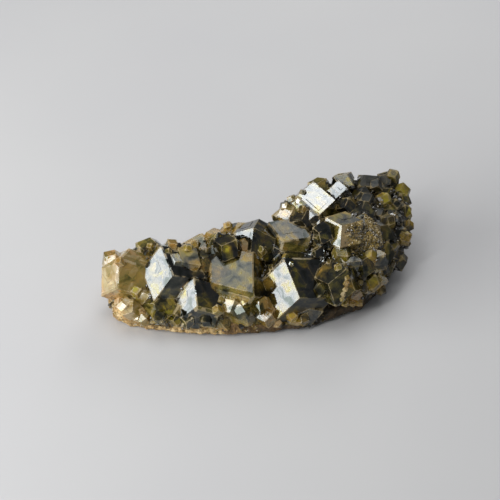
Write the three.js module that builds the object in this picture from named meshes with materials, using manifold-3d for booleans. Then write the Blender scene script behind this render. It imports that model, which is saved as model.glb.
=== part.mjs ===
// Andradite garnet specimen: a bent bank of intergrown dodecahedral crystals on a thin rind of matrix.
// Millimetres and degrees, +Z up. X runs along the specimen and Y from its front edge to its back edge.
// The origin is the middle of the bounding box, on the plane that the matrix rests on.
import * as THREE from "three";
import { ConvexGeometry } from "three/addons/geometries/ConvexGeometry.js";
import { mergeVertices } from "three/addons/utils/BufferGeometryUtils.js";
import Module from "manifold-3d";

const wasm = await Module();
wasm.setup();

// Driving dimensions.
const GAP = 0.4; // between the crystals and the matrix under them
const BEVEL = 0.025; // how far the narrow faces along a large crystal's edges cut in, as a share
const UNEVEN = 0.04; // how far a large crystal's twelve faces differ in distance, as a share
const LARGE_EDGE = 7.6; // from this edge length up, a crystal has narrow faces along its edges
const BARE_EDGE = 6; // from this edge length up, a crystal's faces stay clear of small crystals
const FILL_TRIES = 250; // places tried for small crystals between the placed ones
const FILL_SPAN = [-42, 42]; // where they may be along X
const FILL_EDGE = [1.6, 3.8]; // the range of their edge lengths
const FILL_SUNK = [0.9, 0.84]; // how far out and how high in the mound they sit, as shares of it
const CORE_SCALE = 0.62; // the solid garnet inside the mound, as a share of the mound
const CORE_BASE = 2; // height of its underside
const BROKEN_AT = 1.3; // height at which the lowest crystals are broken off
const ROCK_STEP = 4; // from one section of the matrix to the next

// The mound that the crystals make, at stations along X: front edge, back edge and crown height.
const MOUND = [
  [-45, 6.0, 14, 9],
  [-40, 1.5, 18, 12],
  [-30, -0.5, 21, 14],
  [-20, -1.0, 23, 14],
  [-10, -1.5, 26, 16],
  [0, -0.5, 30, 18],
  [10, 0.5, 37, 20],
  [18, 3.0, 42, 22],
  [26, 7.0, 46, 22],
  [34, 12.0, 48, 20],
  [40, 21.0, 47, 17],
  [45, 31.0, 43, 12],
];

// The matrix, at stations along X: front edge, back edge, height of its front lip, height of its crown.
const MATRIX = [
  [-41, 4.5, 13, 4.0, 4.0],
  [-38, 1.8, 16, 8.0, 6.0],
  [-34, 0.6, 18, 8.4, 6.5],
  [-30, -0.4, 19, 4.4, 6.0],
  [-20, -1.4, 21, 2.2, 6.0],
  [-10, -2.0, 24, 2.6, 6.5],
  [-2, -1.6, 27, 3.0, 7.0],
  [6, -0.6, 32, 2.4, 7.5],
  [14, 1.0, 38, 2.6, 8.0],
  [21, 4.0, 42, 3.2, 8.5],
  [28, 7.8, 44, 3.6, 9.0],
  [33, 12.5, 44, 3.4, 8.5],
  [37, 19.5, 42, 3.0, 7.0],
  [40, 27.0, 37, 2.6, 4.5],
];

// Crystals placed one by one: centre x, y, z and edge length, then how the main face lies: the heading that
// it looks to (0 to the front, 90 to the right), its lift above level, and the turn of its long diagonal.
const PLACED = [
  // Left end.
  [-36.6, 12.4, 9.3, 8.3, 18, 38, 157],
  [-41.0, 15.5, 12.4, 3.4, -20, 40, 30],
  [-23.4, 11.8, 11.0, 9.9, -45, 35, 159],
  [-33.0, 18.5, 10.0, 4.8, -20, 50, 10],
  [-30.8, 19.5, 12.2, 4.4, 10, 30, 40],
  [-32.0, 6.5, 7.4, 3.6, -20, 35, 60],
  [-24.0, 13.6, 19.4, 2.4, 0, 42, 60],
  // Left front.
  [-26.9, 3.9, 4.8, 6.0, -44, 22, 93],
  [-22.2, 2.8, 4.4, 4.6, 30, 40, 20],
  [-15.8, 5.3, 7.7, 8.0, -50, 31, 174],
  [-19.0, 2.6, 4.2, 5.0, 20, 20, 75],
  [-13.0, 2.0, 5.0, 4.4, -30, 70, 110],
  [-10.8, 1.6, 3.4, 3.8, 40, 35, 15],
  // Behind the left front.
  [-19.8, 11.6, 15.6, 5.2, -62, 30, 150],
  [-15.0, 12.2, 14.6, 4.2, 25, 40, 60],
  [-19.0, 9.6, 12.6, 3.6, 10, 55, 30],
  [-17.8, 18.9, 8.8, 7.7, -35, 80, 168],
  [-17.5, 12.4, 10.6, 5.4, 5, 40, 60],
  // Centre.
  [-6.3, 11.9, 6.7, 13.5, -18, 68, 127],
  [-7.8, 15.4, 16.8, 4.8, 0, 46, 12],
  [-8.4, 17.2, 13.0, 7.4, 5, 60, 150],
  [-12.3, 22.2, 13.0, 4.6, -60, 45, 30],
  [-9.0, 24.0, 15.0, 2.8, 0, 60, 0],
  [-4.6, 23.5, 13.6, 5.6, 30, 75, 80],
  [-1.0, 18.5, 16.2, 7.2, -50, 33, 12],
  [4.6, 16.0, 15.4, 3.8, -20, 35, 70],
  [8.5, 20.1, 14.9, 8.2, 0, 80, 115],
  [9.9, 10.0, 8.8, 11.4, -33, 26, 174],
  // Centre front.
  [-4.1, 2.6, 6.3, 5.1, -52, 43, 88],
  [-9.6, 3.4, 6.4, 3.2, 30, 40, 20],
  [-1.6, 2.2, 4.0, 3.4, 15, 35, 140],
  [1.0, 3.6, 6.2, 4.7, 10, 14, 167],
  [11.6, 6.2, 3.6, 6.6, 11, 11, 78],
  [9.6, 2.6, 3.4, 3.0, -25, 40, 30],
  // Right of the centre.
  [8.6, 26.4, 20.4, 3.8, -40, 30, 45],
  [11.4, 28.4, 21.6, 2.8, -70, 40, 100],
  [12.6, 23.4, 20.2, 4.6, 35, 45, 20],
  [12.6, 21.6, 17.4, 4.2, -80, 25, 10],
  [17.6, 20.6, 15.6, 5.6, 25, 45, 70],
  [16.4, 14.2, 14.2, 4.8, -20, 55, 20],
  [16.4, 13.4, 17.0, 2.4, -60, 20, 90],
  [18.4, 17.0, 20.0, 3.8, 30, 30, 20],
  [14.5, 28.6, 16.4, 10.1, 105, 78, 101],
  [21.4, 7.1, 12.3, 6.8, -68, 61, 30],
  [23.4, 18.3, 20.4, 6.2, -50, 33, 118],
  [23.8, 12.0, 14.4, 4.8, -47, 31, 139],
  [28.4, 20.2, 17.2, 6.4, 10, 22, 100],
  // Right front.
  [28.2, 13.2, 13.0, 4.8, 40, 35, 50],
  [31.6, 15.4, 13.4, 4.2, -25, 10, 140],
  [25.4, 8.8, 8.0, 4.2, -30, 30, 30],
  [28.6, 10.6, 8.0, 4.2, 60, 20, 80],
  [32.0, 13.2, 7.6, 4.0, 5, 45, 10],
  // Right end.
  [29.4, 33.0, 18.4, 5.0, 30, 65, 30],
  [29.2, 27.2, 18.6, 4.4, -15, 35, 90],
  [24.8, 29.6, 20.6, 3.2, -60, 50, 10],
  [35.0, 33.6, 16.8, 3.6, -40, 30, 20],
  [34.2, 24.6, 15.0, 4.6, 20, 40, 130],
  [31.6, 40.6, 18.8, 4.2, 0, 70, 60],
  [37.8, 44.2, 17.6, 3.6, -30, 50, 20],
  [35.8, 39.8, 16.4, 3.6, 20, 45, 70],
  [40.8, 39.8, 14.6, 3.6, 60, 30, 150],
  [41.2, 35.4, 12.6, 3.0, 40, 35, 80],
  [38.0, 31.0, 14.0, 3.6, 25, 30, 70],
  [40.4, 31.0, 11.4, 3.2, 70, 20, 10],
  [36.6, 26.4, 10.4, 3.6, 35, 25, 120],
  [34.6, 19.6, 11.4, 4.2, 45, 40, 30],
  [35.0, 18.4, 7.2, 3.6, 15, 20, 60],
  [38.4, 22.8, 8.0, 3.0, 50, 35, 100],
  [24.6, 39.6, 20.4, 4.0, -10, 60, 110],
  [22.4, 33.8, 21.0, 4.0, -50, 35, 60],
  [17.6, 38.4, 19.8, 3.6, 20, 50, 40],
];

// Repeatable random numbers from 0 to 1.
function randomSource(seed) {
  let state = seed;
  return () => {
    state = (Math.imul(state, 1664525) + 1013904223) >>> 0;
    return state / 4294967296;
  };
}

const lerp = (a, b, t) => a + (b - a) * t;

// The values of a table of stations at a place along X.
function stationAt(table, x) {
  const last = table.length - 1;
  const past = table.findIndex((row) => row[0] > x);
  const i = past < 0 ? last - 1 : Math.max(0, past - 1);
  const t = THREE.MathUtils.clamp((x - table[i][0]) / (table[i + 1][0] - table[i][0]), 0, 1);
  return table[i].slice(1).map((value, c) => lerp(value, table[i + 1][c + 1], t));
}

// A closed geometry as a solid.
function solidOf(geometry) {
  const bare = geometry.index ? geometry.toNonIndexed() : geometry;
  bare.deleteAttribute("normal");
  bare.deleteAttribute("uv");
  const merged = mergeVertices(bare, 1e-4);
  return new wasm.Manifold(
    new wasm.Mesh({
      numProp: 3,
      vertProperties: new Float32Array(merged.attributes.position.array),
      triVerts: new Uint32Array(merged.index.array),
    }),
  );
}

// The solid that a set of planes encloses, each a unit normal and a distance from the centre.
function enclosed(planes) {
  const corners = [];
  for (let i = 0; i < planes.length; i++)
    for (let j = i + 1; j < planes.length; j++)
      for (let k = j + 1; k < planes.length; k++) {
        const [a, b, c] = [planes[i], planes[j], planes[k]];
        const bc = new THREE.Vector3().crossVectors(b.n, c.n);
        const det = a.n.dot(bc);
        if (Math.abs(det) < 1e-3) continue;
        const p = bc
          .multiplyScalar(a.d)
          .addScaledVector(new THREE.Vector3().crossVectors(c.n, a.n), b.d)
          .addScaledVector(new THREE.Vector3().crossVectors(a.n, b.n), c.d)
          .divideScalar(det);
        const inside = planes.every((q) => q.n.dot(p) <= q.d + 1e-5);
        if (inside && !corners.some((o) => o.distanceToSquared(p) < 1e-6)) corners.push(p);
      }
  return new ConvexGeometry(corners);
}

// The unit normals of a family of crystal faces: every order and sign of its three indices.
function faceFamily(a, b, c) {
  const found = [];
  for (const [x, y, z] of [[a, b, c], [b, c, a], [c, a, b]])
    for (const sx of [1, -1])
      for (const sy of [1, -1])
        for (const sz of [1, -1]) {
          const n = new THREE.Vector3(x * sx, y * sy, z * sz).normalize();
          if (!found.some((f) => f.distanceTo(n) < 1e-3)) found.push(n);
        }
  return found;
}

const RHOMBS = faceFamily(1, 1, 0);
const EDGE_FACES = faceFamily(2, 1, 1);
const RHOMB_DISTANCE = Math.sqrt(2 / 3); // from the centre to a rhomb, for an edge of 1
const EDGE_DISTANCE = (2 * Math.SQRT2) / 3; // from the centre to the middle of an edge, for an edge of 1

// Turns a crystal so that its main rhomb looks to a heading and lift, with its long diagonal turned.
function lie(heading, lift, turn) {
  const [h, l, t] = [heading, lift, turn].map(THREE.MathUtils.degToRad);
  const out = new THREE.Vector3(Math.sin(h) * Math.cos(l), -Math.cos(h) * Math.cos(l), Math.sin(l));
  const uphill = new THREE.Vector3(-Math.sin(h) * Math.sin(l), Math.cos(h) * Math.sin(l), Math.cos(l));
  const side = new THREE.Vector3().crossVectors(uphill, out);
  const long = uphill.multiplyScalar(Math.cos(t)).addScaledVector(side, Math.sin(t));
  const short = new THREE.Vector3().crossVectors(long, out);
  const world = new THREE.Matrix4().makeBasis(short, long, out);
  const own = new THREE.Matrix4().makeBasis(
    new THREE.Vector3(0, 0, -1),
    new THREE.Vector3(-1, 1, 0).normalize(),
    new THREE.Vector3(1, 1, 0).normalize(),
  );
  return world.multiply(own.transpose());
}

// One crystal in place. A large one is a little uneven, and has narrow faces along its edges.
function crystal([x, y, z, edge, heading, lift, turn], random) {
  const large = edge >= LARGE_EDGE;
  const planes = RHOMBS.map((n) => ({
    n,
    d: edge * RHOMB_DISTANCE * (1 + (large ? UNEVEN * (2 * random() - 1) : 0)),
  }));
  if (large)
    planes.push(...EDGE_FACES.map((n) => ({ n, d: edge * EDGE_DISTANCE * (1 - BEVEL) })));
  const geometry = enclosed(planes);
  geometry.applyMatrix4(lie(heading, lift, turn).setPosition(x, y, z));
  return solidOf(geometry);
}

// How far a point is outside a crystal's faces, less than nothing inside it.
function outside(point, [x, y, z, edge, heading, lift, turn]) {
  const turned = lie(heading, lift, turn).transpose();
  const own = point.clone().sub(new THREE.Vector3(x, y, z)).applyMatrix4(turned);
  return Math.max(...RHOMBS.map((n) => n.dot(own))) - edge * RHOMB_DISTANCE;
}

// Small crystals strewn over the mound, half sunk in it, thicker towards the right end.
function fillCrystals(random) {
  const bare = PLACED.filter((row) => row[3] >= BARE_EDGE);
  const found = [];
  for (let i = 0; i < FILL_TRIES; i++) {
    const x = lerp(...FILL_SPAN, random() ** 0.6);
    const [front, back, crown] = stationAt(MOUND, x);
    const angle = lerp(0.1, 0.95, random()) * Math.PI;
    const y = (front + back) / 2 - ((back - front) / 2) * Math.cos(angle) * FILL_SUNK[0];
    const z = crown * Math.sin(angle) ** 0.8 * FILL_SUNK[1];
    const edge = lerp(...FILL_EDGE, random() ** 2);
    const row = [x, y, z, edge, 360 * random(), 90 * random(), 180 * random()];
    const place = new THREE.Vector3(x, y, z);
    if (bare.every((large) => outside(place, large) > 0.9 * edge)) found.push(row);
  }
  return found.map((row) => crystal(row, random));
}

// A closed skin over rings of points, with the first and last ring closed by a point in their middle.
function loft(rings) {
  const count = rings[0].length;
  const middle = (ring) =>
    ring.reduce((sum, p) => sum.add(p), new THREE.Vector3()).divideScalar(count);
  const points = [...rings.flat(), middle(rings[0]), middle(rings.at(-1))];
  const faces = [];
  const [first, last] = [points.length - 2, points.length - 1];
  for (let k = 0; k < count; k++) {
    const next = (k + 1) % count;
    for (let r = 0; r + 1 < rings.length; r++) {
      const [a, b] = [r * count, (r + 1) * count];
      faces.push(a + k, b + next, b + k, a + k, a + next, b + next);
    }
    const end = (rings.length - 1) * count;
    faces.push(first, next, k, last, end + k, end + next);
  }
  const geometry = new THREE.BufferGeometry().setFromPoints(points).setIndex(faces);
  return solidOf(geometry);
}

// The solid garnet inside the mound, which joins the crystals.
function core() {
  const sides = 12;
  const rings = MOUND.map(([x, front, back, crown]) => {
    const [middle, half] = [(front + back) / 2, ((back - front) / 2) * CORE_SCALE];
    return Array.from({ length: sides }, (_, k) => {
      const angle = (2 * Math.PI * (k + 0.5)) / sides;
      const top = Math.max(0, Math.sin(angle)) * crown * CORE_SCALE;
      return new THREE.Vector3(x * 0.94, middle - half * Math.cos(angle), top + CORE_BASE);
    }).reverse();
  });
  return loft(rings);
}

// A repeatable unevenness from -1 to 1 for a point of the matrix.
function roughness(x, y, z) {
  const waves = [x * 1.7 + y * 0.6, y * 2.1 - z * 1.3 + 2, x * 0.9 - z * 2.4 + 4];
  return waves.reduce((sum, wave) => sum + Math.sin(wave), 0) / waves.length;
}

// The matrix: a plate of rock with a flat underside and a low crown. grown moves its sides and top
// outwards and deep moves its underside down, so that the same shape cuts room for itself.
function matrix(grown, deep) {
  const [from, to] = [MATRIX[0][0], MATRIX.at(-1)[0]];
  const count = Math.round((to - from) / ROCK_STEP);
  const rings = Array.from({ length: count + 1 }, (_, i) => {
    const x = lerp(from, to, i / count);
    const [front, back, lip, crown] = stationAt(MATRIX, x);
    const width = back - front;
    // Each point of the section: y, z, how uneven it is, and which way its side faces.
    const section = [
      [front + 0.16 * width, 0, 0, -1],
      [front + 1.2, 0.5, 0.3, -1],
      [front + 0.2, 0.45 * lip, 0.5, -1],
      [front + 0.9, lip, 0.5, -1],
      [front + 0.18 * width, lerp(lip, crown, 0.6), 0.6, 0],
      [front + 0.36 * width, crown * 0.95, 0.8, 0],
      [front + 0.6 * width, crown, 0.8, 0],
      [front + 0.8 * width, lerp(3, crown, 0.6), 0.6, 0],
      [back - 0.8, 3.0, 0.5, 1],
      [back, 1.4, 0.5, 1],
      [back - 1.4, 0.4, 0.3, 1],
      [back - 0.16 * width, 0, 0, 1],
    ];
    const end = i === 0 ? -1 : i === count ? 1 : 0;
    const points = section.map(([y, z, uneven, side]) => {
      const bump = uneven * roughness(x, y, z * 2);
      const height = z > 0.5 ? z + Math.abs(bump) + grown : z + Math.abs(bump) - deep;
      return new THREE.Vector3(x + end * grown + 0.6 * bump, y + side * (grown + bump), height);
    });
    return points.reverse();
  });
  return loft(rings);
}

// The uneven plane that the lowest crystals are broken off at, as the solid below it.
function brokenUnderside() {
  const cell = 8;
  const [x0, x1, y0, y1, low] = [-56, 64, -16, 64, -30];
  const rings = [];
  for (let x = x0; x <= x1; x += cell) {
    const ring = [new THREE.Vector3(x, y1, low), new THREE.Vector3(x, y0, low)];
    for (let y = y0; y <= y1; y += cell)
      ring.push(new THREE.Vector3(x, y, BROKEN_AT + 0.6 * roughness(x * 0.7, y * 0.8, x + y)));
    rings.push(ring.reverse());
  }
  return loft(rings);
}

// A solid as a named mesh.
function meshOf(solid, name, material) {
  const { numVert, numProp, vertProperties, triVerts } = solid.getMesh();
  const places = new Float32Array(numVert * 3);
  for (let i = 0; i < numVert; i++)
    places.set(vertProperties.subarray(i * numProp, i * numProp + 3), i * 3);
  const geometry = new THREE.BufferGeometry()
    .setAttribute("position", new THREE.BufferAttribute(places, 3))
    .setIndex(new THREE.BufferAttribute(new Uint32Array(triVerts), 1));
  const mesh = new THREE.Mesh(geometry, material);
  mesh.name = name;
  return mesh;
}

// The crystals, all grown together in one solid, less the room for the matrix.
function crystals() {
  const random = randomSource(11);
  const grown = [
    core(),
    ...PLACED.map((row) => crystal(row, random)),
    ...fillCrystals(random),
  ];
  const cut = wasm.Manifold.union(grown).subtract(matrix(GAP, 20)).subtract(brokenUnderside());
  return cut.decompose().sort((a, b) => b.volume() - a.volume())[0];
}

const garnet = new THREE.MeshStandardMaterial({ color: 0x5a4a1c, roughness: 0.12, metalness: 0 });
const rock = new THREE.MeshStandardMaterial({ color: 0xb89a68, roughness: 0.9, metalness: 0 });

const specimen = new THREE.Group();
specimen.add(
  meshOf(crystals(), "garnet_crystals", garnet),
  meshOf(matrix(0, 0), "matrix", rock),
);
const box = new THREE.Box3().setFromObject(specimen);
const middle = box.getCenter(new THREE.Vector3());
specimen.position.set(-middle.x, -middle.y, -box.min.z);

export default specimen;
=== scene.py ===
"""Andradite garnet specimen: the looks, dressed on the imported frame."""
import math
import random

import bmesh
import bpy
import numpy as np
from mathutils import Matrix, Vector, noise
from mathutils.bvhtree import BVHTree
from mathutils.geometry import delaunay_2d_cdt


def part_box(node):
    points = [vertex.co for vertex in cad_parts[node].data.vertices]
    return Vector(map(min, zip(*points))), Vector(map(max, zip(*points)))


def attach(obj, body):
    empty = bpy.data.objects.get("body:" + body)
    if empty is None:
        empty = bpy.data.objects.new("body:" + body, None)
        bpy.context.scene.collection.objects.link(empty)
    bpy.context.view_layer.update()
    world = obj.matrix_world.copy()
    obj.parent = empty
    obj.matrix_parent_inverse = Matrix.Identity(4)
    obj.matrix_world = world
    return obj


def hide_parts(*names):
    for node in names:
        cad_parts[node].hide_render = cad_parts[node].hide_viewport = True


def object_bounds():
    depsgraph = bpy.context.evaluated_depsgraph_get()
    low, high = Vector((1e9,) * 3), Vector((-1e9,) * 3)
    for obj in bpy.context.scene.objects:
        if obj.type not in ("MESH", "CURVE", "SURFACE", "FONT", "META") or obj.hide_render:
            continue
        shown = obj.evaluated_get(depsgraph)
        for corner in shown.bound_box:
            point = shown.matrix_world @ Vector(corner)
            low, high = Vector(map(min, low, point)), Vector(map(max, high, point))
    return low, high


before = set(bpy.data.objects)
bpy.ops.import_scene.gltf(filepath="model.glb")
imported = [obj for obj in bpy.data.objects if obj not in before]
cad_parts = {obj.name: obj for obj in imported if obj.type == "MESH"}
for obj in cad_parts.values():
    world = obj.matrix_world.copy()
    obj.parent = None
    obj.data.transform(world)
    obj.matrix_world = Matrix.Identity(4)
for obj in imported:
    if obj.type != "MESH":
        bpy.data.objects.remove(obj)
CAD_BOX = [list(v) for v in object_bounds()]

MM = 0.001
# From the drawing's own axes to the frame's, in mm.
SHIFT = Vector((-0.3135, -22.382, 0.0))

# The view of the photograph: its width in pixels, the lens in pixels, and the camera's target (mm, drawing
# axes), distance (m) and lift (radians).
PHOTO_SIDE = 500
LENS_LENGTH = 1334
VIEW_TARGET = Vector((-2.6, 22.0, 10.9))
VIEW_DISTANCE = 0.380
VIEW_LIFT = math.radians(42)

# Crystals whose tone the photograph shows: centre and edge in mm (drawing axes), then from 0 to 1 how pale,
# how golden and how crusted with tan dust they are.
# How golden sets how much golden glow is painted into a crystal's colour.
TONES = [
    # Left end.
    (-36.6, 12.4, 9.3, 8.3, 0.74, 0.20, 0.10),
    (-41.0, 15.5, 12.4, 3.4, 0.75, 0.20, 0.20),
    (-33.0, 18.5, 10.0, 4.8, 0.65, 0.20, 0.20),
    (-30.8, 19.5, 12.2, 4.4, 0.35, 0.35, 0.10),
    (-32.0, 6.5, 7.4, 3.6, 0.70, 0.80, 0.20),
    (-23.4, 11.8, 11.0, 9.9, 0.10, 0.00, 0.00),
    (-24.0, 13.6, 19.4, 2.4, 0.45, 0.20, 0.20),
    # Left front.
    (-26.9, 3.9, 4.8, 6.0, 0.35, 0.20, 0.05),
    (-22.2, 2.8, 4.4, 4.6, 0.50, 0.75, 0.10),
    (-15.8, 5.3, 7.7, 8.0, 0.08, 0.00, 0.00),
    (-19.0, 2.6, 4.2, 5.0, 0.20, 0.10, 0.05),
    (-13.0, 2.0, 5.0, 4.4, 0.30, 0.30, 0.10),
    (-10.8, 1.6, 3.4, 3.8, 0.55, 0.30, 0.30),
    (-19.8, 11.6, 15.6, 5.2, 0.28, 0.10, 0.10),
    (-15.0, 12.2, 14.6, 4.2, 0.32, 0.10, 0.10),
    (-19.0, 9.6, 12.6, 3.6, 0.30, 0.05, 0.10),
    (-17.8, 18.9, 8.8, 7.7, 0.55, 0.30, 0.20),
    # Centre.
    (-6.3, 11.9, 6.7, 13.5, 0.50, 0.10, 0.12),
    (-7.8, 15.4, 16.8, 4.8, 0.12, 0.35, 0.00),
    (-8.4, 17.2, 13.0, 7.4, 0.30, 0.10, 0.10),
    (-12.3, 22.2, 13.0, 4.6, 0.60, 0.20, 0.35),
    (-9.0, 24.0, 15.0, 2.8, 0.50, 0.40, 0.20),
    (-4.6, 23.5, 13.6, 5.6, 0.40, 0.05, 0.15),
    (-1.0, 18.5, 16.2, 7.2, 0.10, 0.08, 0.00),
    (4.6, 16.0, 15.4, 3.8, 0.10, 0.20, 0.00),
    (8.5, 20.1, 14.9, 8.2, 0.42, 0.05, 0.12),
    (9.9, 10.0, 8.8, 11.4, 0.08, 0.00, 0.00),
    # Centre front.
    (-4.1, 2.6, 6.3, 5.1, 0.45, 0.10, 0.05),
    (-9.6, 3.4, 6.4, 3.2, 0.65, 0.30, 0.30),
    (-1.6, 2.2, 4.0, 3.4, 0.50, 0.40, 0.20),
    (1.0, 3.6, 6.2, 4.7, 0.60, 0.00, 0.10),
    (11.6, 6.2, 3.6, 6.6, 0.22, 0.15, 0.05),
    (9.6, 2.6, 3.4, 3.0, 0.75, 0.90, 0.00),
    # Right of the centre.
    (8.6, 26.4, 20.4, 3.8, 0.48, 0.30, 0.35),
    (11.4, 28.4, 21.6, 2.8, 0.60, 0.35, 0.50),
    (12.6, 23.4, 20.2, 4.6, 0.15, 0.10, 0.05),
    (12.6, 21.6, 17.4, 4.2, 0.30, 0.10, 0.10),
    (17.6, 20.6, 15.6, 5.6, 0.15, 0.10, 0.05),
    (16.4, 14.2, 14.2, 4.8, 0.10, 0.05, 0.00),
    (18.4, 17.0, 20.0, 3.8, 0.12, 0.10, 0.05),
    (14.5, 28.6, 16.4, 10.1, 0.14, 0.00, 0.04),
    (21.4, 7.1, 12.3, 6.8, 0.26, 0.08, 0.08),
    (23.4, 18.3, 20.4, 6.2, 0.45, 0.25, 0.45),
    (23.8, 12.0, 14.4, 4.8, 0.25, 0.00, 0.08),
    (28.4, 20.2, 17.2, 6.4, 0.40, 0.25, 0.45),
    # Right front.
    (28.2, 13.2, 13.0, 4.8, 0.32, 0.20, 0.15),
    (31.6, 15.4, 13.4, 4.2, 0.65, 0.60, 0.20),
    (25.4, 8.8, 8.0, 4.2, 0.70, 0.50, 0.15),
    (28.6, 10.6, 8.0, 4.2, 0.25, 0.15, 0.15),
    (32.0, 13.2, 7.6, 4.0, 0.45, 0.35, 0.25),
]


# Facets whose tone the photograph shows: the pixel of a point on the facet, then pale,
# golden, crusted and, where it isn't 0, matt.
# Their pale values are partly the facet's own tone and partly painted highlight and shade of the facet as
# lit; golden sets painted golden glow.
FACETS = [
    # Left end and left front.
    (110, 273, 0.84, 0.30, 0.00),
    (131, 273, 0.74, 0.45, 0.00),
    (147, 245, 0.30, 0.40, 0.10),
    (159, 270, 0.26, 0.00, 0.00),
    (182, 260, 0.10, 0.05, 0.00),
    (172, 283, 0.28, 0.15, 0.00, 0.30),
    (190, 255, 0.36, 0.45, 0.05, 0.60),
    (189, 295, 0.20, 0.00, 0.00),
    (207, 290, 0.05, 0.05, 0.00),
    (168, 300, 0.45, 0.60, 0.05),
    (160, 308, 0.40, 0.45, 0.05),
    (140, 292, 0.80, 0.75, 0.05),
    # Centre.
    (235, 268, 0.34, 0.12, 0.00, 0.25),
    (257, 266, 0.14, 0.10, 0.00),
    (268, 282, 0.95, 0.00, 0.00),
    (268, 300, 0.80, 0.05, 0.00),
    (235, 293, 0.42, 0.35, 0.10),
    (230, 248, 0.10, 0.60, 0.00),
    (261, 243, 0.10, 0.10, 0.00),
    (290, 229, 0.30, 0.08, 0.00, 0.20),
    (295, 244, 0.60, 0.45, 0.15),
    (280, 285, 0.30, 0.05, 0.00),
    (307, 273, 0.05, 0.00, 0.00),
    (307, 303, 0.10, 0.15, 0.00, 0.50),
    # Right of the centre.
    (335, 268, 0.20, 0.05, 0.00),
    (330, 290, 0.14, 0.05, 0.00),
    (355, 283, 0.15, 0.30, 0.00),
    (333, 222, 0.15, 0.10, 0.00, 1.00),
    (341, 218, 0.22, 0.20, 0.30, 0.85),
    (335, 238, 0.50, 0.10, 0.00),
    (352, 238, 0.40, 0.60, 0.60, 0.60),
    (318, 197, 0.28, 0.00, 0.00),
    (310, 222, 0.15, 0.10, 0.00),
    (287, 212, 0.52, 0.35, 0.25),
    (344, 185, 0.35, 0.00, 0.05),
]

# The golden light of these places is painted glow in the crystals' colour, standing in for light shining
# through them.
# Places where light comes out golden: the pixel that its centre shows at, its radius in mm
# and its strength. A last value is how far in front of the CAD it lies, in mm, on a crystal that stands out.
GLOWS = [
    (136, 291, 3.0, 1.0),
    (150, 248, 1.6, 0.6),
    (168, 310, 3.4, 0.8),
    (192, 250, 2.6, 0.5),
    (221, 238, 1.8, 0.5),
    (227, 249, 2.0, 1.0, 2.7),
    (263, 258, 2.2, 0.9),
    (292, 315, 3.0, 1.0),
    (345, 288, 2.4, 0.7),
    (346, 258, 2.2, 0.6),
    (352, 302, 2.0, 0.7),
    (371, 255, 2.6, 0.6),
    (371, 283, 3.0, 0.7),
    (384, 200, 2.6, 0.9),
    (393, 174, 3.2, 0.6),
    (405, 197, 3.0, 0.8),
    (405, 238, 2.6, 0.7),
    (410, 215, 3.2, 0.7),
]
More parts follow.
